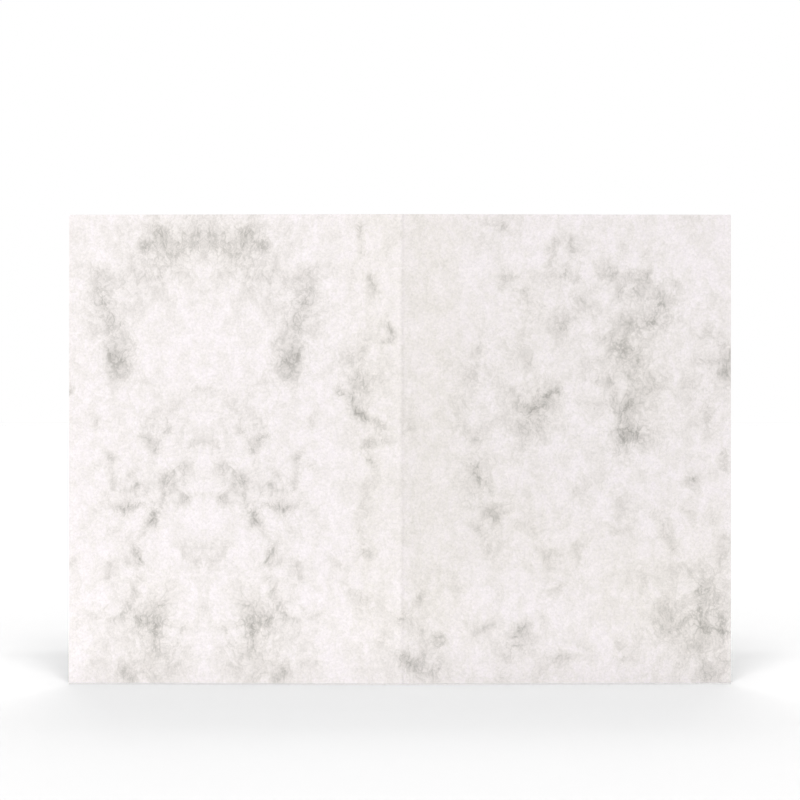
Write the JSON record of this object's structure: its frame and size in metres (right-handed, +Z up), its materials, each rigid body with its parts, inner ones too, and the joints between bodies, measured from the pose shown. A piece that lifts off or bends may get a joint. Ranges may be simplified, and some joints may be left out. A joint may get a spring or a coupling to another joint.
{
  "type": "folded card",
  "caption": "Blank marbled cardstock sheet folded once down its middle, standing on its lower edge opened almost flat, fold to the front.",
  "frame": {"origin": "on the surface that the card stands on, at the middle of its footprint", "axes": "+Z up along the fold, +X along the opened card's width, -Y to the front, towards which the outside of the fold points"},
  "size_m": [0.2092, 0.0096, 0.148],
  "materials": {
    "cardstock": "uncoated wove cardstock, pinkish white, with a printed grey marbling"
  },
  "bodies": {
    "root": {"folded_card": "cardstock"}
  },
  "joints": []
}
